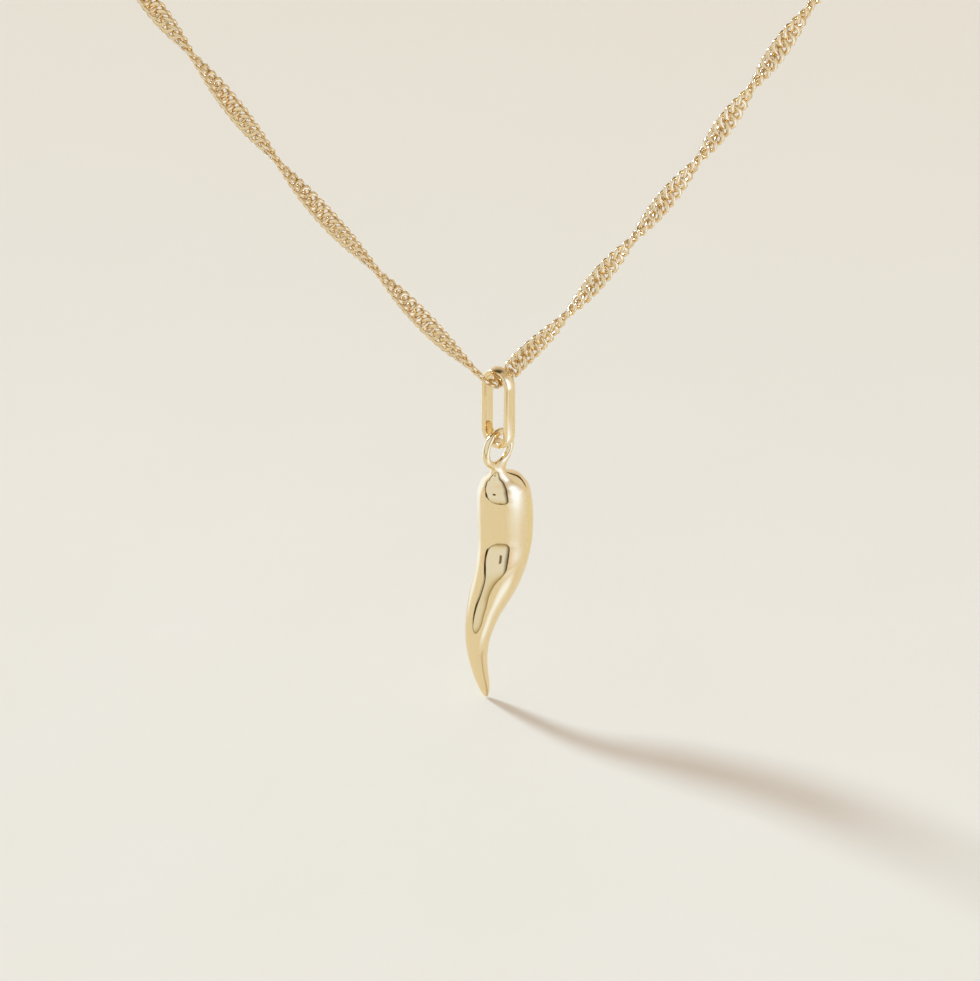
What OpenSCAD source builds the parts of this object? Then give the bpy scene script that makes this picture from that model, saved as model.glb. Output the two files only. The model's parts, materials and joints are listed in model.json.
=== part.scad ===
// A small gold horn pendant on a fine twisted curb chain.
// Millimetres, +Z up, -Y to the front. The origin is the middle of the neck that wears the necklace,
// level with the clasp at the nape. The pendant hangs in front, below it.

/* [Chain] */
// Diameter of the round envelope of the twisted chain
chain_d = 0.9; // [0.8:0.05:1]
// How far the lowest point of the chain lies in front of the neck's middle
chain_front = 48; // [40:1:56]
// How far the lowest point of the chain lies below the neck's middle
chain_drop = 91; // [80:1:100]

/* [Bail] */
// Width of the long link over its two legs
bail_w = 2.08; // [2.04:0.01:2.2]
// Height of the long link over its two arches
bail_h = 4.98; // [4.8:0.01:5.6]
// Width of the strip that the link is bent from
strip_w = 0.74; // [0.6:0.01:0.78]
// Thickness of the strip in the middle of its domed face
strip_t = 0.4; // [0.34:0.01:0.42]
// How much thinner the strip is at its edges
strip_dome = 0.08; // [0.04:0.01:0.12]
// Rest gap between the top of the chain and the arch that hangs on it
bail_gap = 0.08; // [0.05:0.01:0.1]
// Turn of the link's hole from the sideways direction
bail_turn = 40; // [30:1:50]

/* [Horn] */
// Diameter of the soldered eye along the middle of its wire
eye_d = 2; // [1.96:0.01:2.1]
// Thickness of the eye's wire
eye_wire = 0.43; // [0.38:0.01:0.46]
// Drop from the middle of the link's low arch to the middle of the eye
eye_drop = 0.29; // [0.25:0.01:0.3]
// Sides of the horn's cross-sections
horn_sides = 36; // [24:4:40]
// Steps between two rows of the horn's table
horn_steps = 3; // [2:1:4]

/* [Clasp] */
// Diameter of the round clasp along the middle of its wire
clasp_d = 4.4; // [4:0.1:5]
// Thickness of the clasp's wire
clasp_wire = 1.1; // [1:0.05:1.2]
// Diameter of each end ring along the middle of its wire
end_ring_d = 1.5; // [1.4:0.05:1.6]
// Thickness of each end ring's wire
end_ring_wire = 0.5; // [0.45:0.01:0.5]

/* [Hidden] */

gold = [0.87, 0.77, 0.52];
tube_sides = 8;
route_steps = 2;
round_fn = 64;

// The lowest point of the chain, which the bail hangs on and swings about.
dip = [0, -chain_front, -chain_drop];

// The right half of the chain's route, measured from the dip: how far to the side, how far back,
// how far up, and the small step aside that lets the chain pass squarely through the turned bail.
// The step aside points the other way on the left half.
route = [
    [0, 0, 0, 0],
    [0.36, 0, 0, 0.3],
    [0.72, 0, 0.16, 0.46],
    [1.15, 0, 0.55, 0.5],
    [2, 0, 1.5, 0.42],
    [3.6, 0, 3.4, 0.22],
    [6.5, 0, 7.2, 0.06],
    [11, 0, 13.2, 0],
    [16, 0, 20.6, 0],
    [22, 0, 29.5, 0],
    [28.5, 1, 39, 0],
    [35, 4, 48, 0],
    [41, 9, 56.5, 0],
    [46.5, 17, 64.5, 0],
    [50.5, 27, 71.5, 0],
    [53, 38.5, 77.5, 0],
    [53.5, 50.5, 82, 0],
    [51.5, 63, 85.5, 0],
    [46.5, 74.5, 88, 0],
    [38.5, 84, 89.5, 0],
    [28, 91, 90.5, 0],
    [16, 95, 91, 0],
    [4.7, 96, 91, 0]
];
route_end = route[len(route) - 1];
nape = dip + [0, route_end[1], route_end[2]];

// The horn's cross-sections, measured from the middle of its eye: height, place of the middle
// to the right and to the back, half width, half depth, and how far the section is turned about
// the upright. The first rows are the soldered neck.
horn_rows = [
    [-0.98, 0, 0, 0.16, 0.16, 18],
    [-1.12, 0, 0, 0.28, 0.28, 18],
    [-1.28, 0, 0, 0.4, 0.4, 18],
    [-1.46, 0.01, 0, 0.48, 0.48, 18],
    [-1.62, 0.06, 0.05, 0.8, 0.6, 18],
    [-1.95, 0.25, 0.17, 1.15, 0.89, 18],
    [-2.39, 0.28, 0.05, 1.43, 1.13, 18],
    [-3.23, 0.38, 0.13, 1.6, 1.3, 19],
    [-4.46, 0.44, 0.19, 1.65, 1.35, 21],
    [-5.8, 0.43, 0.09, 1.62, 1.33, 23],
    [-6.74, 0.23, -0.36, 1.57, 1.29, 25],
    [-7.72, -0.02, -0.57, 1.52, 1.25, 28],
    [-8.8, -0.43, -0.77, 1.41, 1.15, 31],
    [-9.78, -0.92, -1.15, 1.12, 0.92, 34],
    [-10.74, -1.28, -1.55, 0.85, 0.73, 34],
    [-11.8, -1.43, -1.8, 0.64, 0.58, 34],
    [-12.91, -1.34, -1.78, 0.51, 0.48, 35],
    [-13.95, -1.15, -1.73, 0.41, 0.39, 34],
    [-14.57, -1.01, -1.69, 0.31, 0.3, 34],
    [-15.03, -0.93, -1.66, 0.17, 0.17, 33],
    [-15.24, -0.91, -1.64, 0.03, 0.03, 33]
];

bail_r = bail_w / 2;
bail_inner_r = bail_r - strip_t;
leg_length = bail_h - bail_w;
dome_r = (pow(strip_w / 2, 2) + pow(strip_dome, 2)) / (2 * strip_dome);
arch_drop = bail_inner_r - chain_d / 2 - bail_gap;
arch = dip - [0, 0, arch_drop];
low_arch = arch - [0, 0, leg_length + bail_r - strip_t / 2];
eye = low_arch - [0, 0, eye_drop];
end_ring_x = (clasp_d + clasp_wire + end_ring_d) / 2;

// A row of a table between its given rows, along a smooth curve through them.
function row_at(table, t) =
    let(
        last = len(table) - 1,
        i = min(floor(t), last - 1),
        f = t - i,
        p0 = table[max(i - 1, 0)],
        p1 = table[i],
        p2 = table[i + 1],
        p3 = table[min(i + 2, last)]
    )
    p1 + (p2 - p0) * f / 2
    + (2 * p0 - 5 * p1 + 4 * p2 - p3) * f * f / 2
    + (3 * p1 - 3 * p2 + p3 - p0) * f * f * f / 2;

// Every row of a table with the given number of steps between rows.
function rows_between(table, steps) =
    [for (k = [0 : (len(table) - 1) * steps]) row_at(table, k / steps)];

function unit(v) = v / norm(v);

// The route as points in space, on the right for side 1 and on the left for side -1.
function route_points(side) =
    [for (r = rows_between(route, route_steps)) dip + [side * r[0], r[1] + side * r[3], r[2]]];

// The direction of a list of points at one of them.
function direction(points, i) =
    unit(points[min(i + 1, len(points) - 1)] - points[max(i - 1, 0)]);

// The direction of the bail's hole, as one half of the chain leaves it.
function bail_axis(side) = side * [cos(bail_turn), sin(bail_turn), 0];

// A ring of the tube round a point, square to the route.
function tube_ring(middle, along) =
    let(
        across = unit(cross(along, [0, 0, 1])),
        upright = cross(across, along)
    )
    [for (k = [0 : tube_sides - 1])
        let(a = 360 * (k + 0.5) / tube_sides)
        middle + chain_d / 2 * (cos(a) * across + sin(a) * upright)];

// A ring of the horn, level, from one row of its table.
function horn_ring(row) =
    [for (k = [0 : horn_sides - 1])
        let(
            a = 360 * k / horn_sides,
            wide = row[3] * cos(a),
            deep = row[4] * sin(a),
            turn = row[5]
        )
        eye + [
            row[1] + wide * cos(turn) - deep * sin(turn),
            row[2] + wide * sin(turn) + deep * cos(turn),
            row[0]
        ]];

// A closed skin over rings that all have the same number of points.
module skin(rings) {
    n = len(rings[0]);
    last = len(rings) - 1;
    polyhedron(
        points = [for (r = rings) each r],
        faces = concat(
            [[for (j = [n - 1 : -1 : 0]) j]],
            [for (i = [0 : last - 1], j = [0 : n - 1])
                each [
                    [i * n + j, i * n + (j + 1) % n, (i + 1) * n + j],
                    [i * n + (j + 1) % n, (i + 1) * n + (j + 1) % n, (i + 1) * n + j]
                ]],
            [[for (j = [0 : n - 1]) last * n + j]]
        )
    );
}

// One half of the chain, as the tube that its links fill, from inside the bail to the clasp.
module chain_half(side) {
    points = route_points(side);
    skin([for (i = [0 : len(points) - 1])
        tube_ring(points[i], i == 0 ? bail_axis(side) : direction(points, i))]);
}

// A ring of round wire that stands upright, with its hole along Y.
module wire_ring(middle_d, wire) {
    rotate([90, 0, 0])
        rotate_extrude($fn = round_fn)
            translate([middle_d / 2, 0])
                circle(d = wire, $fn = round_fn / 2);
}

// The strip's section: flat inside and domed outside, at its distance from the arch's middle.
module strip_section() {
    intersection() {
        translate([bail_inner_r, -strip_w / 2])
            square([strip_t, strip_w]);
        translate([bail_r - dome_r, 0])
            circle(r = dome_r, $fn = round_fn);
    }
}

// The rounded end of the bail.
module bail_arch() {
    rotate([90, 0, 0])
        rotate_extrude(angle = 180, $fn = round_fn)
            strip_section();
}

module chain_left() {
    color(gold) chain_half(-1);
}

module chain_right() {
    color(gold) chain_half(1);
}

// The round clasp with a ring at each end for the chain.
module clasp() {
    color(gold)
        translate(nape) {
            wire_ring(clasp_d, clasp_wire);
            for (side = [-1, 1])
                translate([side * end_ring_x, 0, 0])
                    wire_ring(end_ring_d, end_ring_wire);
        }
}

// The long link that carries the horn: two arches and two straight legs.
module bail() {
    color(gold)
        translate(arch)
            rotate([0, 0, bail_turn - 90]) {
                bail_arch();
                translate([0, 0, -leg_length])
                    mirror([0, 0, 1])
                        bail_arch();
                for (side = [0, 1])
                    mirror([side, 0, 0])
                        translate([0, 0, -leg_length])
                            linear_extrude(height = leg_length)
                                strip_section();
            }
}

// The horn with its soldered eye.
module horn() {
    color(gold) {
        translate(eye)
            rotate([0, 0, bail_turn])
                wire_ring(eye_d, eye_wire);
        skin([for (r = rows_between(horn_rows, horn_steps)) horn_ring(r)]);
    }
}

chain_left();
chain_right();
clasp();
bail();
horn();
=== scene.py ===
import json
from math import cos, pi, radians, sin, sqrt, tan

import bmesh
import bpy
from mathutils import Matrix, Vector


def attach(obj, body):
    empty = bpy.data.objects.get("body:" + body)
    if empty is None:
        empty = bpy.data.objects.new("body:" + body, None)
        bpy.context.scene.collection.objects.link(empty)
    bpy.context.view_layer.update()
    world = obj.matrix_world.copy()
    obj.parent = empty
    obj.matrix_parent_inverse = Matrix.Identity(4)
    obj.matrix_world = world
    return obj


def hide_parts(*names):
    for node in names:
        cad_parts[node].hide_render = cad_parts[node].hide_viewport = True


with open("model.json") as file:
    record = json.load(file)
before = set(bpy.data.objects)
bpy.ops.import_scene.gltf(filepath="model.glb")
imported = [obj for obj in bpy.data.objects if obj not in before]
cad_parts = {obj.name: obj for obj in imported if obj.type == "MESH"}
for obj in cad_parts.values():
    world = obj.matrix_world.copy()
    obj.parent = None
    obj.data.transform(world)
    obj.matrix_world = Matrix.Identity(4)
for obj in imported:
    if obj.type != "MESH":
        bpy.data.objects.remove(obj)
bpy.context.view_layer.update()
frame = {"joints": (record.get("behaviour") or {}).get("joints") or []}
scene = bpy.context.scene
mm = 0.001

# The places that the pieces share, in mm: the chain's lowest point and the bail's low arch.
hinges = {joint["name"]: Vector(joint["pos_m"]) / mm for joint in frame["joints"]}
dip = hinges["bail_swing"]
lowArch = hinges["horn_swing"]
bailTurn = radians(40)
holeAxis = Vector((cos(bailTurn), sin(bailTurn), 0))
loopAxis = Vector((sin(bailTurn), -cos(bailTurn), 0))
upright = Vector((0, 0, 1))


def fromHex(text):
    # an sRGB hex colour as linear values
    channels = [int(text[i:i + 2], 16) / 255 for i in (1, 3, 5)]
    return (*(c / 12.92 if c <= 0.04045 else ((c + 0.055) / 1.055) ** 2.4 for c in channels), 1)


def addNode(tree, kind, inputs=None, **settings):
    # one node with its settings, and a value or a link for each named or numbered input
    node = tree.nodes.new(kind)
    for name, value in settings.items():
        setattr(node, name, value)
    for socket, value in (inputs or {}).items():
        if isinstance(value, bpy.types.NodeSocket):
            tree.links.new(value, node.inputs[socket])
        else:
            node.inputs[socket].default_value = value
    return node


def newMaterial(name):
    material = bpy.data.materials.new(name)
    material.use_nodes = True
    material.node_tree.nodes.clear()
    return material, material.node_tree


def newPiece(name, mesh, material, body, replaced):
    # a finished piece: it rides on its body and stands for its CAD node
    piece = bpy.data.objects.new(name, mesh)
    scene.collection.objects.link(piece)
    piece.data.materials.clear()
    piece.data.materials.append(material)
    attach(piece, body)
    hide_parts(replaced)
    return piece


def meshFrom(form, name, smooth=True):
    # a bmesh in mm becomes a mesh in metres, with its faces outwards
    bmesh.ops.recalc_face_normals(form, faces=form.faces)
    bmesh.ops.scale(form, vec=(mm, mm, mm), verts=form.verts)
    mesh = bpy.data.meshes.new(name)
    form.to_mesh(mesh)
    form.free()
    for face in mesh.polygons:
        face.use_smooth = smooth
    return mesh


def addSubdivision(piece, levels):
    soft = piece.modifiers.new("soft", "SUBSURF")
    soft.levels = levels
    soft.render_levels = levels


def addLoft(form, rings, closedLoop=False):
    # quads between rings of points, and the vertices of each ring
    rows = [[form.verts.new(point) for point in ring] for ring in rings]
    count = len(rows[0])
    pairs = list(zip(rows, rows[1:])) + ([(rows[-1], rows[0])] if closedLoop else [])
    for low, high in pairs:
        for i in range(count):
            j = (i + 1) % count
            form.faces.new((low[i], low[j], high[j], high[i]))
    return rows


def rowAt(table, place):
    # a row between the given ones, on the same smooth curve as the source's tables
    last = len(table) - 1
    i = min(int(place), last - 1)
    f = place - i
    near = [table[max(i - 1, 0)], table[i], table[i + 1], table[min(i + 2, last)]]
    return [
        b + (c - a) * f / 2
        + (2 * a - 5 * b + 4 * c - d) * f * f / 2
        + (3 * b - 3 * c + d - a) * f ** 3 / 2
        for a, b, c, d in zip(*near)
    ]


# Materials

goldLook = {
    "colour": "#F5E0B5",        # 14 karat yellow gold, paler than pure gold
    "warmer": "#F2DAA9",
    "roughness": (0.035, 0.075),
    "hazeSize": 0.9,            # mm, patches left by the polishing wheel
    "lineWidth": 0.03,          # mm, buffing hairlines; drawn coarser than real ones so that they show
    "lineLength": 0.6,
    "lineTurn": (0.15, 0.25, 0),
    "lineDepth": 0.00035,       # mm
}


def polishedGold():
    # cast 14 karat gold, buffed to a mirror: sharp reflections, a slight haze and hairline buffing marks
    material, tree = newMaterial("polished14kGold")
    look = goldLook
    place = addNode(tree, "ShaderNodeTexCoord").outputs["Object"]
    haze = addNode(tree, "ShaderNodeTexNoise", {
        "Vector": place, "Scale": 1 / (look["hazeSize"] * mm), "Detail": 3, "Roughness": 0.55})
    rough = addNode(tree, "ShaderNodeMapRange", {
        "Value": haze.outputs["Fac"], "From Min": 0.35, "From Max": 0.7,
        "To Min": look["roughness"][0], "To Max": look["roughness"][1]})
    tint = addNode(tree, "ShaderNodeMix", {
        "Factor": haze.outputs["Fac"], "A": fromHex(look["colour"]), "B": fromHex(look["warmer"])},
        data_type="RGBA")
    perWidth = 1 / (look["lineWidth"] * mm)
    along = addNode(tree, "ShaderNodeMapping", {
        "Vector": place, "Rotation": look["lineTurn"],
        "Scale": (perWidth, perWidth, 1 / (look["lineLength"] * mm))})
    lines = addNode(tree, "ShaderNodeTexNoise", {
        "Vector": along.outputs["Vector"], "Scale": 1, "Detail": 2})
    bump = addNode(tree, "ShaderNodeBump", {
        "Height": lines.outputs["Fac"], "Strength": 0.3, "Distance": look["lineDepth"] * mm})
    shader = addNode(tree, "ShaderNodeBsdfPrincipled", {
        "Base Color": tint.outputs["Result"], "Metallic": 1, "Roughness": rough.outputs["Result"],
        "Normal": bump.outputs["Normal"]})
    addNode(tree, "ShaderNodeOutputMaterial", {"Surface": shader.outputs["BSDF"]})
    return material


chainLook = {
    "colour": "#F5DEB2",        # the same alloy as the charm
    "deeper": "#EDCF9A",
    "roughness": (0.08, 0.2),
    "patchSize": 0.5,           # mm, places cut more and less bright
    "drawSize": 0.06,           # mm, faint drag marks of the wire's drawing and the cutting tool
    "drawDepth": 0.0012,        # mm
}


def brightCutGold():
    # drawn 14 karat wire, twisted, pressed and bright cut: flashing facets with a soft tooling grain
    material, tree = newMaterial("brightCut14kGold")
    look = chainLook
    place = addNode(tree, "ShaderNodeTexCoord").outputs["Object"]
    patches = addNode(tree, "ShaderNodeTexNoise", {
        "Vector": place, "Scale": 1 / (look["patchSize"] * mm), "Detail": 2})
    rough = addNode(tree, "ShaderNodeMapRange", {
        "Value": patches.outputs["Fac"], "From Min": 0.3, "From Max": 0.7,
        "To Min": look["roughness"][0], "To Max": look["roughness"][1]})
    tint = addNode(tree, "ShaderNodeMix", {
        "Factor": patches.outputs["Fac"], "A": fromHex(look["colour"]), "B": fromHex(look["deeper"])},
        data_type="RGBA")
    grain = addNode(tree, "ShaderNodeTexNoise", {
        "Vector": place, "Scale": 1 / (look["drawSize"] * mm), "Detail": 2})
    bump = addNode(tree, "ShaderNodeBump", {
        "Height": grain.outputs["Fac"], "Strength": 0.5, "Distance": look["drawDepth"] * mm})
    shader = addNode(tree, "ShaderNodeBsdfPrincipled", {
        "Base Color": tint.outputs["Result"], "Metallic": 1, "Roughness": rough.outputs["Result"],
        "Normal": bump.outputs["Normal"]})
    addNode(tree, "ShaderNodeOutputMaterial", {"Surface": shader.outputs["BSDF"]})
    return material


gold = polishedGold()
chainGold = brightCutGold()
print("materials made")


# Horn

horn = {
    "eyeDrop": 0.29,            # from the bail's low arch to the middle of the eye
    "eyeRadius": 1.0,
    "eyeWire": 0.215,           # wire radius
    "eyeParts": 36,
    "wireParts": 18,
    "seatParts": 3,             # parts of the eye that open into the neck, on each side of its foot
    "seatSides": 4,             # and sides of its wire, on each side of its outermost line
    "sides": 24,
    "steps": 2,                 # rings from one row of the table to the next
}
# Height from the middle of the eye, middle to the right and to the back, half width, half depth,
# and turn in degrees.
hornRows = [
    [-1.26, 0, 0, 0.5, 0.36, 40],
    [-1.4, 0.01, 0, 0.51, 0.4, 38],
    [-1.54, 0.04, 0.02, 0.58, 0.45, 34],
    [-1.66, 0.09, 0.06, 0.72, 0.53, 29],
    [-1.76, 0.14, 0.12, 0.86, 0.64, 24],
    [-1.86, 0.19, 0.18, 1.0, 0.77, 20],
    [-1.98, 0.23, 0.19, 1.13, 0.9, 18],
    [-2.15, 0.26, 0.15, 1.26, 1.03, 18],
    [-2.37, 0.29, 0.12, 1.4, 1.14, 18],
    [-2.65, 0.32, 0.12, 1.51, 1.23, 18],
    [-2.98, 0.35, 0.13, 1.57, 1.29, 19],
    [-3.5, 0.39, 0.15, 1.61, 1.32, 19],
    [-4.46, 0.44, 0.19, 1.65, 1.35, 21],
    [-5.8, 0.43, 0.09, 1.62, 1.33, 23],
    [-6.74, 0.23, -0.36, 1.57, 1.29, 25],
    [-7.72, -0.02, -0.57, 1.52, 1.25, 28],
    [-8.8, -0.43, -0.77, 1.41, 1.15, 31],
    [-9.78, -0.92, -1.15, 1.12, 0.92, 34],
    [-10.74, -1.28, -1.55, 0.85, 0.73, 34],
    [-11.8, -1.43, -1.8, 0.64, 0.58, 34],
    [-12.91, -1.34, -1.78, 0.51, 0.48, 35],
    [-13.95, -1.15, -1.73, 0.41, 0.39, 34],
    [-14.57, -1.01, -1.69, 0.31, 0.3, 34],
    [-15.03, -0.93, -1.66, 0.17, 0.17, 33],
    [-15.21, -0.91, -1.64, 0.06, 0.06, 33],
]


def swell(parts):
    # how much larger a ring of control points is made, so that its subdivided curve keeps the real radius
    return 6 / (4 + 2 * cos(2 * pi / parts))


def wireRing(form, middle, across, radius, wire, parts, wireParts, wireAt=None):
    # a closed ring of round wire that stands upright, widening along across; returns its vertices by ring
    rings = []
    axis = across.cross(upright)
    for i in range(parts):
        turn = 2 * pi * (i + 0.5) / parts
        out = across * cos(turn) + upright * sin(turn)
        thick = wire * swell(wireParts) * (wireAt(turn) if wireAt else 1)
        rings.append([
            middle + out * (radius * swell(parts) + thick * cos(2 * pi * (k + 0.5) / wireParts))
            + axis * thick * sin(2 * pi * (k + 0.5) / wireParts)
            for k in range(wireParts)
        ])
    return addLoft(form, rings, closedLoop=True)


def hornRing(eye, row):
    # one level section: an oval whose wider side is turned about the upright
    height, right, back, halfWidth, halfDepth, turn = row
    points = []
    for k in range(horn["sides"]):
        angle = 2 * pi * k / horn["sides"] - radians(turn)
        wide = halfWidth * swell(horn["sides"]) * cos(angle)
        deep = halfDepth * swell(horn["sides"]) * sin(angle)
        place = Vector((wide, deep, 0))
        place.rotate(Matrix.Rotation(radians(turn), 3, "Z"))
        points.append(eye + Vector((right, back, height)) + place)
    return points


def makeHorn():
    form = bmesh.new()
    eye = lowArch - upright * horn["eyeDrop"]
    rings = wireRing(
        form, eye, holeAxis, horn["eyeRadius"], horn["eyeWire"], horn["eyeParts"], horn["wireParts"])
    # the foot of the eye is opened where the neck joins it
    foot = horn["eyeParts"] * 3 // 4
    seat = set()
    for i in range(foot - horn["seatParts"], foot + horn["seatParts"] + 1):
        for k in range(-horn["seatSides"], horn["seatSides"] + 1):
            seat.add(rings[i % horn["eyeParts"]][k % horn["wireParts"]])
    gone = [face for face in form.faces if all(v in seat for v in face.verts)]
    bmesh.ops.delete(form, geom=gone, context="FACES")
    rim = [edge for edge in form.edges if edge.is_boundary]

    steps = (len(hornRows) - 1) * horn["steps"]
    body = addLoft(form, [hornRing(eye, rowAt(hornRows, k / horn["steps"])) for k in range(steps + 1)])
    neck = [edge for edge in form.edges if edge.is_boundary and all(v in body[0] for v in edge.verts)]
    bmesh.ops.bridge_loops(form, edges=rim + neck)
    tip = [edge for edge in form.edges if edge.is_boundary and all(v in body[-1] for v in edge.verts)]
    bmesh.ops.contextual_create(form, geom=tip)
    return meshFrom(form, "horn")


hornPiece = newPiece("hornCharm", makeHorn(), gold, "horn", "horn")
addSubdivision(hornPiece, 2)
print("horn made")


# Bail

bail = {
    "height": 4.98,
    "width": 2.08,
    "strip": 0.74,
    "thickness": 0.4,
    "dome": 0.08,
    "edge": 0.07,               # rounding of the strip's long edges
    "gap": 0.08,                # between the chain's envelope and the arch
    "chainRadius": 0.45,
    "archParts": 16,
    "legParts": 4,
}


def stripSection():
    # distance out from the arch's middle and place across the strip, round the section: flat inside,
    # domed outside. The rounded edges are drawn in shares of their size, the dome in shares of the
    # half width.
    inner = bail["width"] / 2 - bail["thickness"]
    outer = bail["width"] / 2
    half = bail["strip"] / 2
    edge = bail["edge"]
    brow = outer - bail["dome"]
    domeRadius = (half ** 2 + bail["dome"] ** 2) / (2 * bail["dome"])
    points = [(inner, w) for w in (-half + 2.4 * edge, -half / 3, half / 3, half - 2.4 * edge)]
    points += [(inner + 0.12 * edge, half - edge), (inner + edge, half - 0.12 * edge)]
    points += [(brow - 1.3 * edge, half), (brow - 0.25 * edge, half - 0.15 * edge)]
    for w in (0.8, 0.45, 0, -0.45, -0.8):
        points.append((outer - domeRadius + sqrt(domeRadius ** 2 - (half * w) ** 2), half * w))
    points += [(brow - 0.25 * edge, -half + 0.15 * edge), (brow - 1.3 * edge, -half)]
    points += [(inner + edge, -half + 0.12 * edge), (inner + 0.12 * edge, -half + edge)]
    return points


def makeBail():
    inner = bail["width"] / 2 - bail["thickness"]
    leg = bail["height"] - bail["width"]
    top = dip - upright * (inner - bail["chainRadius"] - bail["gap"])
    low = top - upright * leg
    stations = []
    for k in range(bail["archParts"] + 1):
        stations.append((top, pi * k / bail["archParts"]))
    for k in range(1, bail["legParts"]):
        stations.append((top.lerp(low, k / bail["legParts"]), pi))
    for k in range(bail["archParts"] + 1):
        stations.append((low, pi + pi * k / bail["archParts"]))
    for k in range(1, bail["legParts"]):
        stations.append((low.lerp(top, k / bail["legParts"]), 2 * pi))
    section = stripSection()
    form = bmesh.new()
    addLoft(form, [
        [
            middle + (loopAxis * cos(turn) + upright * sin(turn)) * out + holeAxis * aside
            for out, aside in section
        ]
        for middle, turn in stations
    ], closedLoop=True)
    return meshFrom(form, "bail")


bailPiece = newPiece("bailLink", makeBail(), gold, "bail", "bail")
addSubdivision(bailPiece, 2)
print("bail made")


# Clasp

clasp = {
    "ringRadius": 2.2,
    "ringWire": 0.55,           # wire radius
    "ringParts": (120, 14),     # round the ring and round its wire
    "endRadius": 0.75,
    "endWire": 0.25,
    "endParts": (28, 10),
    "endPlace": 3.5,            # from the middle of the clasp to the middle of an end ring
    "grooves": (radians(62), radians(118)),     # where the sliding tongue meets the ring
    "grooveDepth": 0.12,        # share of the wire's radius
    "grooveHalf": radians(4),
    "knobAt": radians(48),
    "knobFoot": 0.7,            # share of the wire's radius at which the knob starts
    "knobSides": 12,
    # height and radius
    "knob": [(0.0, 0.17), (0.32, 0.17), (0.42, 0.3), (0.56, 0.34), (0.7, 0.28), (0.78, 0.1)],
}
nape = Vector((0, 48, 0))
across = Vector((1, 0, 0))
forwards = Vector((0, -1, 0))


def grooved(turn):
    near = min(abs(turn - groove) for groove in clasp["grooves"])
    return 1 - clasp["grooveDepth"] * max(0, 1 - near / clasp["grooveHalf"])


def makeClasp():
    form = bmesh.new()
    wireRing(form, nape, across, clasp["ringRadius"], clasp["ringWire"], *clasp["ringParts"], grooved)
    for side in (-1, 1):
        middle = nape + across * side * clasp["endPlace"]
        wireRing(form, middle, across, clasp["endRadius"], clasp["endWire"], *clasp["endParts"])
    # the small knob that draws the tongue back
    out = across * cos(clasp["knobAt"]) + upright * sin(clasp["knobAt"])
    along = forwards.cross(out)
    foot = nape + out * clasp["ringRadius"] + forwards * clasp["ringWire"] * clasp["knobFoot"]
    turns = [2 * pi * k / clasp["knobSides"] for k in range(clasp["knobSides"])]
    rings = [
        [foot + forwards * height + (out * cos(turn) + along * sin(turn)) * radius for turn in turns]
        for height, radius in clasp["knob"]
    ]
    rows = addLoft(form, rings)
    for row in (rows[0], rows[-1]):
        form.faces.new(row)
    return meshFrom(form, "clasp")


claspPiece = newPiece("springRingClasp", makeClasp(), gold, "necklace", "clasp")
addSubdivision(claspPiece, 2)
print("clasp made")


# Chain

chain = {
    "spacing": 0.5,             # from link to link
    "length": 0.8,              # of a link, along the wire's middle
    "width": 0.85,
    "wire": 0.26,               # wire diameter
    "rise": 0.15,               # how far a link twists out of its plane to pass its neighbours
    "flat": 0.3,                # thickness after pressing
    "wireSides": 6,
    "linkParts": 12,
    "fine": 12,                 # points of the route from one row of its table to the next
    "hand": -1,                 # the way that the ribbon of links twists
    "laterTwist": 6.5,          # length of a half twist beyond the picture
    "insideBail": 0.83,         # links inside the bail are smaller by this share
    "bailReach": 1.1,           # and lie within this distance of the dip
}
# Side, back, up and step aside, from the chain's lowest point, for the right half. The last link
# goes round the clasp's end ring.
route = [
    [0, 0, 0.1, 0],
    [0.36, 0, 0.12, 0.3],
    [0.72, 0, 0.36, 0.46],
    [1.1, 0, 0.82, 0.5],
    [1.88, 0, 1.66, 0.42],
    [3.5, 0, 3.48, 0.22],
    [6.5, 0, 7.2, 0.06],
    [11.08, 0, 13.14, 0],
    [16.08, 0, 20.55, 0],
    [22, 0, 29.5, 0],
    [28.5, 1, 39, 0],
    [35, 4, 48, 0],
    [41, 9, 56.5, 0],
    [46.5, 17, 64.5, 0],
    [50.5, 27, 71.5, 0],
    [53, 38.5, 77.5, 0],
    [53.5, 50.5, 82, 0],
    [51.5, 63, 85.5, 0],
    [46.5, 74.5, 88, 0],
    [38.5, 84, 89.5, 0],
    [28, 91, 90.5, 0],
    [16, 95, 91, 0],
    [4.25, 96, 91, 0],
]
# Distances from the dip at which the ribbon of links stands edge-on to the front, and its turn there.
edgeOn = {
    -1: {"distances": [2.0, 10.2, 19.0, 26.8], "turn": -107, "startTurn": -78},
    1: {"distances": [5.6, 11.3, 17.0, 22.0, 27.3], "turn": -68, "startTurn": 78},
}


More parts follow.
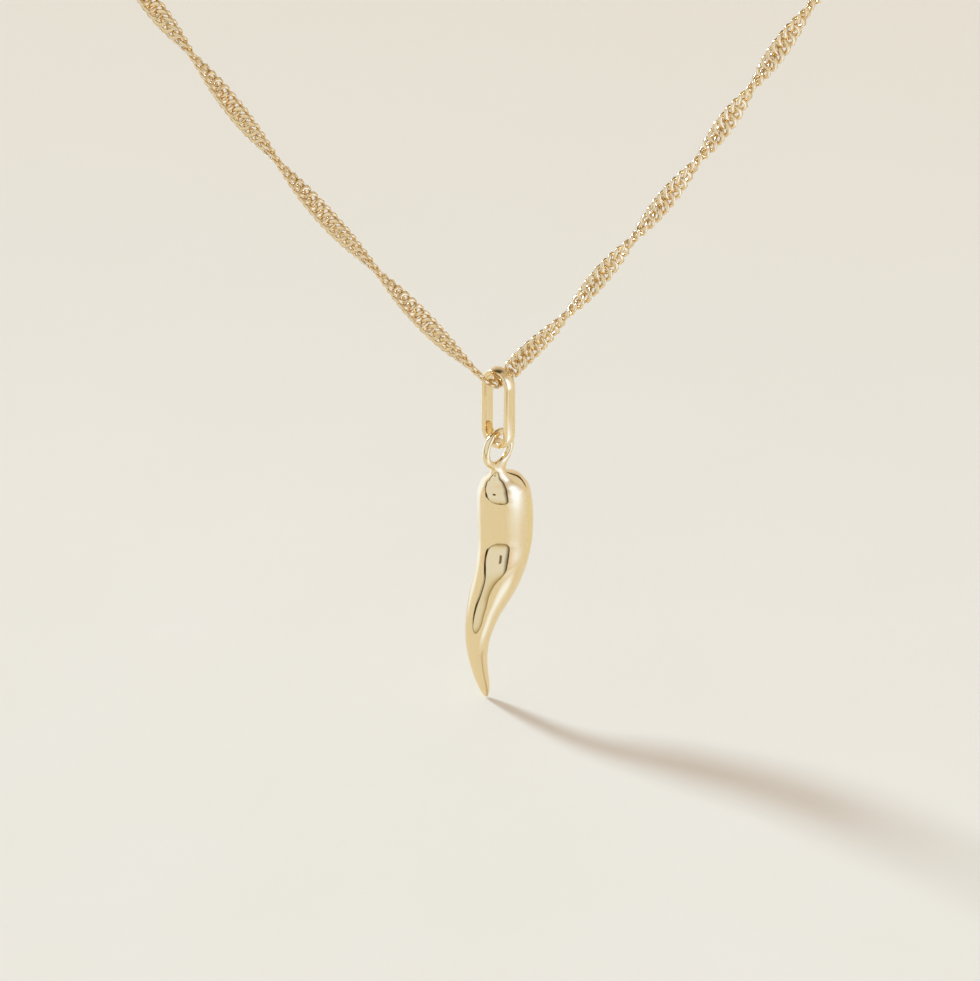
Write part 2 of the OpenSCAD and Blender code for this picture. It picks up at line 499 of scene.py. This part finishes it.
def linkTree():
    # Geometry Nodes: one pressed curb link, repeated along the route
    tree = bpy.data.node_groups.new("curbLinks", "GeometryNodeTree")
    sockets = [("Geometry", "NodeSocketGeometry", None), ("linkCount", "NodeSocketInt", 10)]
    for name in ("length", "width", "wire", "rise", "flat"):
        sockets.append((name, "NodeSocketFloat", chain[name] * mm))
    for name in ("linkParts", "wireSides"):
        sockets.append((name, "NodeSocketInt", chain[name]))
    sockets += [("finish", "NodeSocketMaterial", None)]
    for name, kind, value in sockets:
        socket = tree.interface.new_socket(name, in_out="INPUT", socket_type=kind)
        if value is not None:
            socket.default_value = value
    tree.interface.new_socket("Geometry", in_out="OUTPUT", socket_type="NodeSocketGeometry")
    given = addNode(tree, "NodeGroupInput").outputs

    def maths(operation, *values):
        return addNode(tree, "ShaderNodeMath", dict(enumerate(values)), operation=operation).outputs[0]

    # the link's middle line: an oval whose sides rise and fall once each way round
    circle = addNode(tree, "GeometryNodeCurvePrimitiveCircle", {
        "Resolution": given["linkParts"], "Radius": 1})
    where = addNode(tree, "GeometryNodeInputPosition").outputs[0]
    place = addNode(tree, "ShaderNodeSeparateXYZ", {0: where}).outputs
    wave = maths("MULTIPLY", place["X"], place["Y"])
    lift = maths("MULTIPLY", wave, maths("MULTIPLY", given["rise"], 2))
    oval = addNode(tree, "ShaderNodeCombineXYZ", {
        "X": lift,
        "Y": maths("MULTIPLY", place["Y"], maths("MULTIPLY", given["width"], 0.5)),
        "Z": maths("MULTIPLY", place["X"], maths("MULTIPLY", given["length"], 0.5))})
    line = addNode(tree, "GeometryNodeSetPosition", {
        "Geometry": circle.outputs["Curve"], "Position": oval.outputs[0]})
    wire = addNode(tree, "GeometryNodeCurvePrimitiveCircle", {
        "Resolution": given["wireSides"], "Radius": maths("MULTIPLY", given["wire"], 0.5)})
    link = addNode(tree, "GeometryNodeCurveToMesh", {
        "Curve": line.outputs["Geometry"], "Profile Curve": wire.outputs["Curve"]})
    # pressed flat on both faces
    where = addNode(tree, "GeometryNodeInputPosition").outputs[0]
    place = addNode(tree, "ShaderNodeSeparateXYZ", {0: where}).outputs
    half = maths("MULTIPLY", given["flat"], 0.5)
    pressed = addNode(tree, "ShaderNodeCombineXYZ", {
        "X": maths("MINIMUM", maths("MAXIMUM", place["X"], maths("MULTIPLY", half, -1)), half),
        "Y": place["Y"], "Z": place["Z"]})
    link = addNode(tree, "GeometryNodeSetPosition", {
        "Geometry": link.outputs["Mesh"], "Position": pressed.outputs[0]})

    points = addNode(tree, "GeometryNodeCurveToPoints", {
        "Curve": given["Geometry"], "Count": given["linkCount"]})
    size = addNode(tree, "GeometryNodeInputRadius")
    links = addNode(tree, "GeometryNodeInstanceOnPoints", {
        "Points": points.outputs["Points"], "Instance": link.outputs["Geometry"],
        "Rotation": points.outputs["Rotation"], "Scale": size.outputs[0]})
    real = addNode(tree, "GeometryNodeRealizeInstances", {"Geometry": links.outputs[0]})
    dressed = addNode(tree, "GeometryNodeSetMaterial", {
        "Geometry": real.outputs[0], "Material": given["finish"]})
    addNode(tree, "NodeGroupOutput", {"Geometry": dressed.outputs[0]})
    return tree


def ribbonTurn(side, distance, length):
    # the links' turn about the chain, in degrees
    marks = edgeOn[side]
    table = [(0, marks["startTurn"])]
    for k, place in enumerate(marks["distances"]):
        table.append((place, marks["turn"] + chain["hand"] * 180 * k))
    rest = length - table[-1][0]
    turns = round(rest / chain["laterTwist"]) * 180 * chain["hand"]
    # the last link lies level, because the clasp's end ring stands upright in it
    endTurn = table[-1][1] + turns
    endTurn += (90 - endTurn + 90) % 180 - 90
    table.append((length, endTurn))
    for (a, turnA), (b, turnB) in zip(table, table[1:]):
        if distance <= b:
            return turnA + (turnB - turnA) * (distance - a) / (b - a)
    return endTurn


def makeChainHalf(name, side, tree):
    points = []
    for k in range((len(route) - 1) * chain["fine"] + 1):
        row = rowAt(route, k / chain["fine"])
        points.append(dip + Vector((side * row[0], row[1] + side * row[3], row[2])))
    distances = [0]
    for a, b in zip(points, points[1:]):
        distances.append(distances[-1] + (b - a).length)
    # the first link of each half stands half a spacing from the dip
    start = chain["spacing"] / 2
    first = next(i for i, d in enumerate(distances) if d > start)
    share = (start - distances[first - 1]) / (distances[first] - distances[first - 1])
    points = [points[first - 1].lerp(points[first], share)] + points[first:]
    distances = [start] + distances[first:]
    length = distances[-1]

    curve = bpy.data.curves.new(name + "Route", "CURVE")
    curve.dimensions = "3D"
    curve.twist_mode = "Z_UP"
    spline = curve.splines.new("POLY")
    spline.points.add(len(points) - 1)
    for point, place, distance in zip(spline.points, points, distances):
        point.co = (*(place * mm), 1)
        point.tilt = -radians(ribbonTurn(side, distance, length))
        point.radius = chain["insideBail"] if distance < chain["bailReach"] else 1
    path = bpy.data.objects.new(name + "Route", curve)
    scene.collection.objects.link(path)
    links = path.modifiers.new("links", "NODES")
    links.node_group = tree
    values = {"linkCount": round((length - start) / chain["spacing"]) + 1, "finish": chainGold}
    for item in tree.interface.items_tree:
        if item.in_out == "INPUT" and item.name in values:
            links[item.identifier] = values[item.name]
    graph = bpy.context.evaluated_depsgraph_get()
    mesh = bpy.data.meshes.new_from_object(path.evaluated_get(graph), depsgraph=graph)
    mesh.name = name
    bpy.data.objects.remove(path)
    print(name, "has", values["linkCount"], "links and", len(mesh.polygons), "faces")
    return mesh


curbLinks = linkTree()
for name, node, side in (("chainLeft", "chain_left", -1), ("chainRight", "chain_right", 1)):
    newPiece(name, makeChainHalf(name, side, curbLinks), chainGold, "necklace", node)
print("chain made")


# Floor, light and camera

stage = {
    "floorZ": -110.41,          # just under the horn's tip
    "floorHalf": 8000,
    "floorColour": "#F3F1EE",
    "floorDeeper": "#EFEDE7",
    "floorFarShade": "#ECE6DD",
    "farWay": (0.35, 1, 0),     # painted shade: the paper is darker and warmer towards the back and the right, where the light falls off
    "farFrom": -60,
    "farTo": 60,
    "mottle": 9,                # mm, clouds of the pulp
    "tooth": 0.35,              # mm, the paper's grain
    "toothDepth": 0.03,
    "cardParts": 40,            # parts of a card from side to side
}


def warmPaper():
    # heavy uncoated paper: matt, warm white, with a soft pulp mottle, a fine tooth, and painted shade that
    # makes it darker and warmer towards the back and the right
    material, tree = newMaterial("warmPaper")
    place = addNode(tree, "ShaderNodeTexCoord").outputs["Object"]
    mottle = addNode(tree, "ShaderNodeTexNoise", {
        "Vector": place, "Scale": 1 / (stage["mottle"] * mm), "Detail": 4})
    colour = addNode(tree, "ShaderNodeMix", {
        "Factor": mottle.outputs["Fac"],
        "A": fromHex(stage["floorColour"]), "B": fromHex(stage["floorDeeper"])}, data_type="RGBA")
    # painted shade: the colour darkens and warms towards the back and the right
    way = addNode(tree, "ShaderNodeVectorMath", {0: place, 1: stage["farWay"]}, operation="DOT_PRODUCT")
    far = addNode(tree, "ShaderNodeMapRange", {
        "Value": way.outputs["Value"], "From Min": stage["farFrom"] * mm, "From Max": stage["farTo"] * mm})
    colour = addNode(tree, "ShaderNodeMix", {
        "Factor": far.outputs["Result"], "A": colour.outputs["Result"], "B": fromHex(stage["floorFarShade"])},
        data_type="RGBA")
    tooth = addNode(tree, "ShaderNodeTexNoise", {
        "Vector": place, "Scale": 1 / (stage["tooth"] * mm), "Detail": 3})
    bump = addNode(tree, "ShaderNodeBump", {
        "Height": tooth.outputs["Fac"], "Strength": 0.25, "Distance": stage["toothDepth"] * mm})
    shader = addNode(tree, "ShaderNodeBsdfPrincipled", {
        "Base Color": colour.outputs["Result"], "Roughness": 0.9, "Specular IOR Level": 0.2,
        "Normal": bump.outputs["Normal"]})
    addNode(tree, "ShaderNodeOutputMaterial", {"Surface": shader.outputs["BSDF"]})
    return material


def shadeRamp(tree, place, stops):
    # a colour ramp over a place from 0 to 1: each stop is a share, or a colour as (red, green, blue)
    ramp = addNode(tree, "ShaderNodeValToRGB", {"Fac": place})
    marks = ramp.color_ramp.elements
    for at, value in stops[1:-1]:
        marks.new(at)
    for mark, (at, value) in zip(marks, stops):
        mark.position = at
        mark.color = (*value, 1) if isinstance(value, tuple) else (value, value, value, 1)
    return ramp.outputs["Color"]


def screenLight(name, screen):
    # the painted reflection on a card, which shines or is dark: its light by height, faded at its edges to
    # its frame, or to what is behind it where it has none
    material, tree = newMaterial(name)
    layout = addNode(tree, "ShaderNodeTexCoord").outputs["UV"]
    uv = addNode(tree, "ShaderNodeSeparateXYZ", {0: layout}).outputs
    aside = shadeRamp(tree, uv["X"], screen["across"])
    upwards = shadeRamp(tree, uv["Y"], screen["upwards"])
    cover = addNode(tree, "ShaderNodeMath", {0: aside, 1: upwards}, operation="MULTIPLY").outputs[0]
    colours = shadeRamp(tree, uv["Y"], screen["light"])
    light = addNode(tree, "ShaderNodeEmission", {"Color": colours, "Strength": screen["strength"]})
    if screen["frame"]:
        hidden = addNode(tree, "ShaderNodeEmission", {"Color": (*screen["frame"], 1), "Strength": 1})
    else:
        hidden = addNode(tree, "ShaderNodeBsdfTransparent")
    mixed = addNode(tree, "ShaderNodeMixShader", {0: cover, 1: hidden.outputs[0], 2: light.outputs[0]})
    addNode(tree, "ShaderNodeOutputMaterial", {"Surface": mixed.outputs[0]})
    return material


def addScreen(name, screen):
    # a painted reflection: a bent card round the pendant that shows only in the gold, from its profile:
    # radius, height above the floor, and the azimuths of its two sides
    form = bmesh.new()
    uv = form.loops.layers.uv.new("UVMap")
    profile = screen["profile"]
    parts = stage["cardParts"]
    rows = []
    for k in range(parts + 1):
        row = []
        for radius, height, start, end in profile:
            turn = radians(start + (end - start) * k / parts)
            row.append(form.verts.new((
                dip.x + radius * sin(turn), dip.y - radius * cos(turn), stage["floorZ"] + height)))
        rows.append(row)
    last = len(profile) - 1
    for k in range(parts):
        for i in range(last):
            face = form.faces.new((rows[k][i], rows[k + 1][i], rows[k + 1][i + 1], rows[k][i + 1]))
            for loop, (u, v) in zip(face.loops, ((k, i), (k + 1, i), (k + 1, i + 1), (k, i + 1))):
                loop[uv].uv = (u / parts, v / last)
    mesh = meshFrom(form, name)
    mesh.materials.append(screenLight(name, screen))
    card = bpy.data.objects.new(name, mesh)
    scene.collection.objects.link(card)
    card.visible_camera = False
    card.visible_diffuse = False
    card.visible_shadow = False


# Painted reflections: cards round the pendant that stand in for the studio. They shine or are dark only in
# the gold and light nothing else. Azimuths are in degrees from the front towards the viewer's right. A
# place runs from 0 to 1: across from left to right, upwards from one profile row to the next. A light is
# (red, green, blue), and what a row of stops gives is its cover.
even = [(0, 1), (1, 1)]
screens = {
    # painted reflection of a pale wall in front with its dark frame, which makes the window and the pill
    # in the gold
    "frontWallReflection": {
        "profile": [
            (33, 0.2, -20, 8), (36, 0.5, -33, 16), (40, 1.2, -44, 21), (47, 3, -56, 23.5),
            (56, 8, -64, 24), (66, 18, -70, 24), (78, 32, -78, 24), (96, 60, -94, 26),
            (100, 100, -100, 31), (84, 140, -104, 37), (50, 170, -110, 48)],
        "across": [(0, 0), (0.05, 0), (0.085, 1), (0.84, 1), (0.93, 0.35), (0.97, 0), (1, 0)],
        "upwards": even,
        "light": [
            (0, (0.3, 0.25, 0.13)), (0.1, (0.42, 0.36, 0.22)), (0.2, (0.64, 0.6, 0.48)),
            (0.3, (0.79, 0.81, 0.8)), (0.45, (0.84, 0.9, 1)), (0.85, (0.84, 0.88, 0.97)),
            (1, (0.8, 0.76, 0.68))],
        "strength": 1,
        "frame": (0.07, 0.05, 0.02),
    },
    # painted reflection of a bright window to the right: the shoulder's highlight, which lights nothing
    "rightWindowReflection": {
        "profile": [
            (20.5, 10.5, 24, 88), (20.5, 12, 24, 88), (20.5, 13.5, 24, 88), (20.5, 15, 24, 88),
            (20.5, 18, 24, 88), (20.8, 26, 28, 90), (21, 34, 30, 86), (21, 40, 34, 79), (20, 48, 36, 72)],
        "across": [
            (0, 0), (0.06, 0.12), (0.14, 0.3), (0.25, 0.7), (0.33, 1), (0.58, 1), (0.69, 0.75),
            (0.8, 0.45), (0.92, 0.2), (1, 0)],
        "upwards": [(0, 0), (0.125, 0.3), (0.25, 0.8), (0.375, 1), (0.75, 1), (0.88, 0.45), (1, 0)],
        "light": [(0, (0.52, 0.65, 1)), (1, (0.52, 0.65, 1))],
        "strength": 2.2,
        "frame": None,
    },
    # painted reflection of its lower part, which fades down the horn's right side
    "lowWindowReflection": {
        "profile": [
            (6.6, 6.4, 20, 94), (6.6, 7.2, 20, 94), (6.6, 8, 20, 94), (6.6, 8.8, 20, 94),
            (6.6, 9.6, 20, 94), (6.6, 10.4, 20, 94), (6.6, 11.2, 20, 94), (6.6, 12, 20, 94),
            (6.6, 12.8, 20, 94), (6.6, 13.6, 20, 94), (6.6, 14.4, 20, 94)],
        "across": [
            (0, 0), (0.08, 0.12), (0.17, 0.4), (0.25, 0.75), (0.34, 1), (0.47, 1), (0.56, 0.75),
            (0.66, 0.45), (0.77, 0.2), (1, 0)],
        "upwards": [
            (0, 0), (0.1, 0.05), (0.2, 0.15), (0.3, 0.4), (0.4, 0.62), (0.5, 0.76), (0.6, 0.86),
            (0.7, 0.95), (0.8, 1), (0.9, 0.6), (1, 0)],
        "light": [(0, (0.52, 0.65, 1)), (1, (0.52, 0.65, 1))],
        "strength": 2.2,
        "frame": None,
    },
    # painted reflection of a pool of its light on the paper; its frame shows plain lit paper in the gold,
    # hiding the reflection of the horn's shadow
    "floorGlowReflection": {
        "profile": [
            (6, 0.15, -5, 60), (9, 0.15, 0, 66), (12, 0.15, 6, 62), (16, 0.15, 6, 60),
            (20, 0.15, 10, 66), (23, 0.15, 14, 66), (27, 0.15, 14, 62), (29.5, 0.15, 14, 60),
            (33, 0.15, 14, 60), (42, 0.15, 14, 60), (46, 0.15, 14, 60)],
        "across": [(0, 0), (0.3, 1), (0.7, 1), (1, 0)],
        "upwards": [
            (0, 0), (0.1, 0.2), (0.2, 0.75), (0.3, 0.6), (0.4, 0.2), (0.5, 0.15), (0.6, 0.25),
            (0.7, 0.35), (0.8, 0.3), (0.9, 0.15), (1, 0)],
        "light": [(0, (0.56, 0.69, 1)), (1, (0.56, 0.69, 1))],
        "strength": 2,
        "frame": (0.82, 0.79, 0.71),
    },
    # painted reflection of warmer paper towards the right edge, seen only in the gold as the horn's yellow
    # right rim
    "warmEdgeReflection": {
        "profile": [(13, 0.12, 88, 130), (17, 0.12, 88, 130), (28, 0.12, 88, 130), (38, 0.12, 88, 130)],
        "across": [(0, 0), (0.25, 1), (0.8, 1), (1, 0)],
        "upwards": [(0, 0), (0.33, 1), (0.67, 1), (1, 0)],
        "light": [(0, (0.82, 0.79, 0.62)), (1, (0.82, 0.79, 0.62))],
        "strength": 1,
        "frame": None,
    },
    # painted reflection of the window behind the left
    "leftWindowReflection": {
        "profile": [
            (13, 0.2, -180, -112), (20, 0.2, -180, -110), (28, 3, -180, -104), (36, 12, -180, -98),
            (44, 28, -180, -96), (48, 50, -180, -104)],
        "across": [(0, 0.3), (0.4, 1), (0.8, 1), (0.92, 0.25), (1, 0)],
        "upwards": [(0, 0), (0.2, 0.7), (0.4, 1), (0.8, 1), (1, 0)],
        "light": [(0, (0.64, 0.76, 1)), (1, (0.64, 0.76, 1))],
        "strength": 1.65,
        "frame": None,
    },
    # painted reflection of a dark post on the right: the dark line round the shoulder
    "rightPostReflection": {
        "profile": [
            (90, 8, 107, 114), (90, 14, 107, 116), (89, 24, 110, 121), (88, 34, 113.5, 127),
            (86, 46, 117, 136), (82, 56, 121, 144), (79, 63, 130, 148)],
        "across": [(0, 0), (0.2, 1), (0.8, 1), (1, 0)],
        "upwards": [(0, 0), (0.17, 0.6), (0.33, 1), (1, 1)],
        "light": [(0, (0.1, 0.08, 0.03)), (0.4, (0.03, 0.02, 0.01)), (1, (0.05, 0.04, 0.02))],
        "strength": 1,
        "frame": None,
    },
    # painted reflection of a dull wall behind it
    "rightWallReflection": {
        "profile": [
            (130, 20, 84, 130), (130, 50, 84, 130), (130, 100, 84, 130), (130, 150, 84, 130),
            (130, 185, 84, 130)],
        "across": [(0, 0), (0.25, 1), (0.7, 1), (1, 0)],
        "upwards": [(0, 0), (0.25, 1), (0.75, 1), (1, 0)],
        "light": [(0, (0.8, 0.78, 0.74)), (1, (0.8, 0.78, 0.74))],
        "strength": 1,
        "frame": None,
    },
    # painted reflection of the dark of the room overhead, behind
    "ceilingReflection": {
        "profile": [
            (100, 90, 105, 275), (80, 105, 105, 275), (60, 118, 105, 275), (30, 125, 105, 275),
            (1, 128, 105, 275)],
        "across": [(0, 0), (0.12, 0.3), (0.25, 1), (1, 1)],
        "upwards": [(0, 0), (0.25, 0.5), (0.5, 1), (1, 1)],
        "light": [(0, (0.1, 0.08, 0.05)), (1, (0.1, 0.08, 0.05))],
        "strength": 1,
        "frame": None,
    },
    # painted reflection of the left frame, deeper than the rest
    "leftFrameReflection": {
        "profile": [
            (46.5, 3.5, -66, -54), (55.5, 8.5, -75, -61), (65.5, 18.5, -80, -67), (77, 32, -81, -76)],
        "across": [(0, 0), (0.3, 1), (0.8, 1), (1, 0)],
        "upwards": [(0, 0), (0.2, 1), (0.7, 1), (1, 0)],
        "light": [(0, (0.04, 0.03, 0.01)), (1, (0.04, 0.03, 0.01))],
        "strength": 1,
        "frame": None,
    },
    # painted reflection of the lens, as the shoulder shows it
    "shoulderLensReflection": {
        "profile": [
            (3.6, 13.2, -28, -25), (3.6, 13.35, -34, -19), (3.6, 13.7, -36, -17), (3.6, 13.95, -34, -19),
            (3.6, 14.05, -28, -25)],
        "across": [(0, 0), (0.3, 1), (0.7, 1), (1, 0)],
        "upwards": [(0, 0), (0.25, 1), (0.75, 1), (1, 0)],
        "light": [(0, (0.1, 0.07, 0.03)), (1, (0.1, 0.07, 0.03))],
        "strength": 1,
        "frame": None,
    },
    # painted reflection of the lens, as the middle shows it
    "middleLensReflection": {
        "profile": [(6.5, 10.25, -9, 1), (6.5, 10.4, -10, 2), (6.5, 10.65, -10, 2), (6.5, 10.8, -9, 1)],
        "across": [(0, 0), (0.3, 0.95), (0.7, 0.95), (1, 0)],
        "upwards": [(0, 0), (0.3, 1), (0.9, 1), (1, 0)],
        "light": [(0, (0.14, 0.1, 0.05)), (1, (0.14, 0.1, 0.05))],
        "strength": 1,
        "frame": None,
    },
}
for name, screen in screens.items():
    addScreen(name, screen)

form = bmesh.new()
size = stage["floorHalf"]
corners = ((-1, -1), (1, -1), (1, 1), (-1, 1))
form.faces.new([form.verts.new((x * size, y * size, stage["floorZ"])) for x, y in corners])
floorMesh = meshFrom(form, "floor", smooth=False)
floorMesh.materials.append(warmPaper())
floorPiece = bpy.data.objects.new("floor", floorMesh)
scene.collection.objects.link(floorPiece)

room = {
    "level": (0.88, 0.775, 0.665),      # the room's light from the side
    "above": (0.64, 0.556, 0.468),      # and from 30 degrees upwards
    "keyPower": 2.78,
    "keySize": radians(11),
    "keyColour": (0.71, 0.893, 1.0),
    "keyWay": (0.713, -0.701, -tan(radians(26.5))),
}
world = bpy.data.worlds.new("studio")
scene.world = world
world.use_nodes = True
tree = world.node_tree
tree.nodes.clear()
way = addNode(tree, "ShaderNodeTexCoord").outputs["Generated"]
height = addNode(tree, "ShaderNodeSeparateXYZ", {0: way}).outputs["Z"]
sky = addNode(tree, "ShaderNodeValToRGB", {"Fac": height})
sky.color_ramp.elements[0].position = 0.0
sky.color_ramp.elements[0].color = (*room["level"], 1)
sky.color_ramp.elements[1].position = 0.5
sky.color_ramp.elements[1].color = (*room["above"], 1)
background = addNode(tree, "ShaderNodeBackground", {"Color": sky.outputs["Color"], "Strength": 1})
addNode(tree, "ShaderNodeOutputWorld", {"Surface": background.outputs[0]})

key = bpy.data.lights.new("keyWindow", "SUN")
key.energy = room["keyPower"]
key.angle = room["keySize"]
key.color = room["keyColour"]
keyLamp = bpy.data.objects.new("keyWindow", key)
keyLamp.rotation_mode = "QUATERNION"
keyLamp.rotation_quaternion = Vector(room["keyWay"]).normalized().to_track_quat("-Z", "Y")
scene.collection.objects.link(keyLamp)

scene.view_settings.view_transform = "Standard"

lens = {
    "azimuth": radians(-8),
    "elevation": radians(30),
    "distance": 240,
    "focal": 160.3,
    "sensor": 36,               # across a picture of 980 by 981
    "middle": 0.11,             # from the dip down to the middle of the bail's upper arch
    "right": 0.451,             # and from there to the left and down, to the middle of the picture
    "up": 5.836,
}
back = Vector((
    sin(lens["azimuth"]) * cos(lens["elevation"]),
    -cos(lens["azimuth"]) * cos(lens["elevation"]),
    sin(lens["elevation"])))
right = Vector((cos(lens["azimuth"]), sin(lens["azimuth"]), 0))
aim = dip - upright * lens["middle"] - right * lens["right"] - back.cross(right) * lens["up"]
camera = bpy.data.cameras.new("camera")
camera.sensor_fit = "HORIZONTAL"
camera.sensor_width = lens["sensor"]
camera.lens = lens["focal"]
camera.clip_start = 0.005
camera.clip_end = 20
viewer = bpy.data.objects.new("camera", camera)
viewer.location = (aim + back * lens["distance"]) * mm
viewer.rotation_mode = "QUATERNION"
viewer.rotation_quaternion = (-back).to_track_quat("-Z", "Y")
scene.collection.objects.link(viewer)
scene.camera = viewer
print("stage made")
